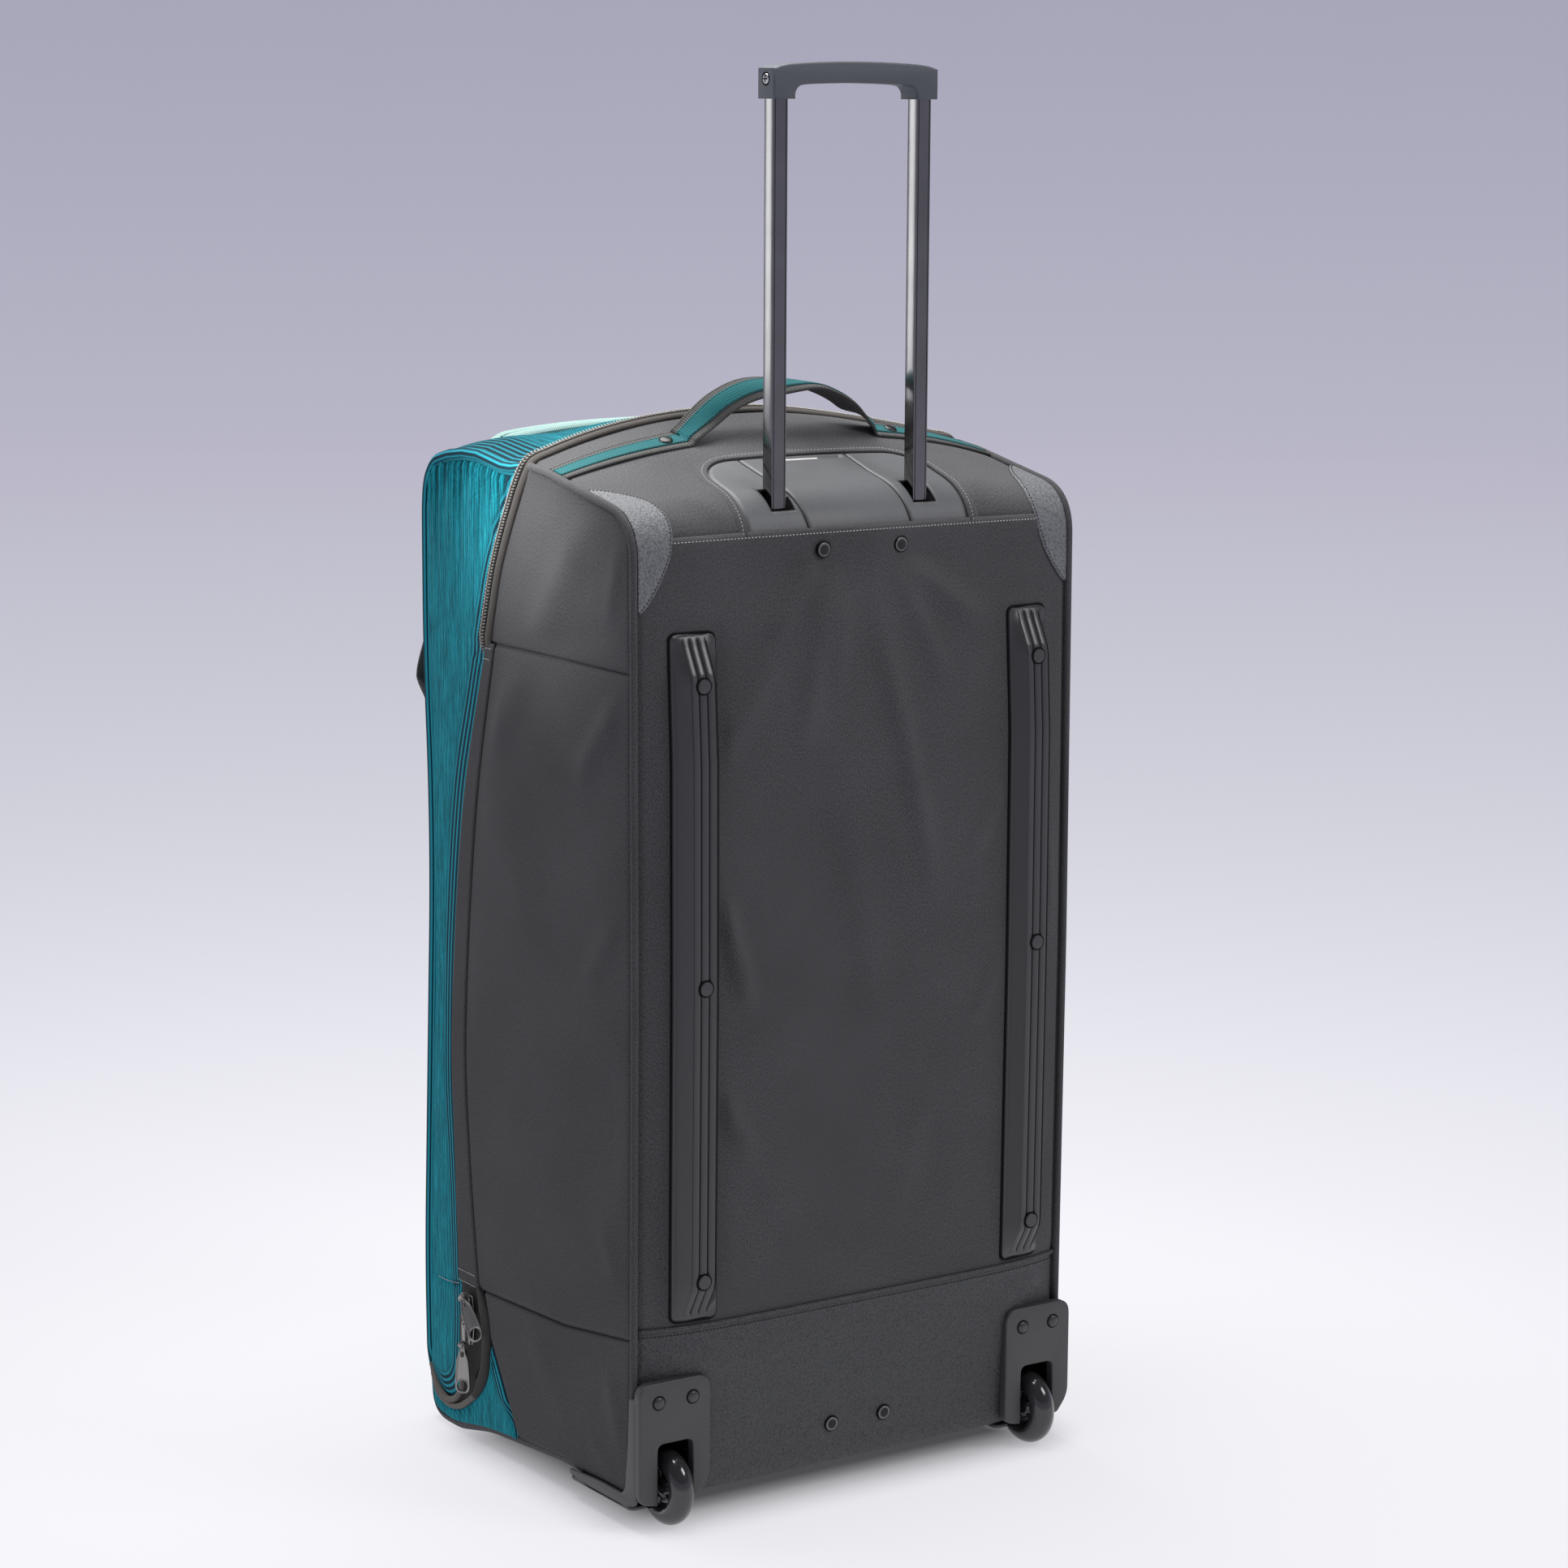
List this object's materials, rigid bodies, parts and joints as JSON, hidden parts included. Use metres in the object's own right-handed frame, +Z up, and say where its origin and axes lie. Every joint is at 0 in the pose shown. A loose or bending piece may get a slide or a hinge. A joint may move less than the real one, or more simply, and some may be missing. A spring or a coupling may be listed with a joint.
{
  "type": "wheeled travel bag",
  "caption": "Tall soft travel bag with a zipped lid, wheels at the foot of its back, slide rails, a pull-out trolley handle and webbing carry straps.",
  "frame": {"origin": "on the floor, below the middle of the whole bag's box", "axes": "+Z up along the bag's height, +X to the right across the back panel seen from behind, +Y from the back panel with its rails to the lid's front"},
  "size_m": [0.4255, 0.3843, 1.1219],
  "materials": {
    "grey_cloth": "dark grey twill polyester, matt",
    "teal_cloth": "teal streaked ripstop polyester, matt",
    "grained_cloth": "dark pebble-grained coated cloth",
    "corner_patch": "mid grey grained coated cloth",
    "rail_plastic": "dark grey satin moulded plastic",
    "plate_rubber": "dark grey satin rubber-coated plate",
    "wheel_gloss": "glossy near-black polyurethane",
    "tube_metal": "dark polished aluminium",
    "dark_metal": "gunmetal plated steel",
    "webbing": "grey ribbed webbing with a teal middle",
    "zip_tape": "brown-grey zip tape with a dark coil"
  },
  "bodies": {
    "bag": {"base_patch": "grained_cloth", "back_panel": "grey_cloth", "top_panel": "grey_cloth", "handle_plate": "plate_rubber", "zip_top": "zip_tape", "lid_top": "teal_cloth", "lid_front": "teal_cloth", "bottom_panel": "grey_cloth", "side_upper_left": "grey_cloth", "side_middle_left": "grey_cloth", "zip_flap_left": "grey_cloth", "side_lower_left": "grey_cloth", "lid_side_left": "teal_cloth", "zip_left": "zip_tape", "zip_tail_left": "zip_tape", "side_upper_right": "grey_cloth", "side_middle_right": "grey_cloth", "zip_flap_right": "grey_cloth", "side_lower_right": "grey_cloth", "lid_side_right": "teal_cloth", "zip_right": "zip_tape", "zip_tail_right": "zip_tape", "piping_left": "grey_cloth", "piping_right": "grey_cloth", "corner_patch_left": "corner_patch", "corner_patch_right": "corner_patch", "rail_left": "rail_plastic", "rail_rivet_left_1": "dark_metal", "rail_rivet_left_2": "dark_metal", "rail_rivet_left_3": "dark_metal", "rail_right": "rail_plastic", "rail_rivet_right_1": "dark_metal", "rail_rivet_right_2": "dark_metal", "rail_rivet_right_3": "dark_metal", "wheel_housing_left": "rail_plastic", "housing_rivet_left_inner": "dark_metal", "housing_rivet_left_outer": "dark_metal", "axle_left": "dark_metal", "wheel_housing_right": "rail_plastic", "housing_rivet_right_inner": "dark_metal", "housing_rivet_right_outer": "dark_metal", "axle_right": "dark_metal", "trolley_frame": "dark_metal", "panel_rivet_upper_left": "dark_metal", "panel_rivet_upper_right": "dark_metal", "panel_rivet_lower_left": "dark_metal", "panel_rivet_lower_right": "dark_metal", "top_handle": "webbing", "strap_rivet_left": "dark_metal", "strap_rivet_right": "dark_metal", "front_handle": "webbing", "zip_slider_upper": "dark_metal", "zip_slider_lower": "dark_metal"},
    "handle": {"handle_tube_left": "tube_metal", "handle_tube_right": "tube_metal", "handle_grip": "rail_plastic"},
    "wheel_left": {"wheel_left": "wheel_gloss"},
    "wheel_right": {"wheel_right": "wheel_gloss"},
    "pull_upper": {"zip_pull_upper": "dark_metal"},
    "pull_lower": {"zip_pull_lower": "dark_metal"}
  },
  "joints": [
    {"name": "handle_slide", "type": "slide", "parent": "bag", "child": "handle", "axis": [0, 0, 1], "range_m": [-0.285, 0]},
    {"name": "wheel_left_spin", "type": "hinge", "parent": "bag", "child": "wheel_left", "pos_m": [-0.176, -0.162, 0.0305], "axis": [1, 0, 0], "continuous": true},
    {"name": "wheel_right_spin", "type": "hinge", "parent": "bag", "child": "wheel_right", "pos_m": [0.176, -0.162, 0.0305], "axis": [1, 0, 0], "continuous": true},
    {"name": "zip_pull_upper_swing", "type": "hinge", "parent": "bag", "child": "pull_upper", "pos_m": [-0.2143, 0.091, 0.124], "axis": [0, 0.766, -0.6428], "range_deg": [0, 150]},
    {"name": "zip_pull_lower_swing", "type": "hinge", "parent": "bag", "child": "pull_lower", "pos_m": [-0.2143, 0.091, 0.082], "axis": [0, 1, 0], "range_deg": [0, 150]}
  ]
}
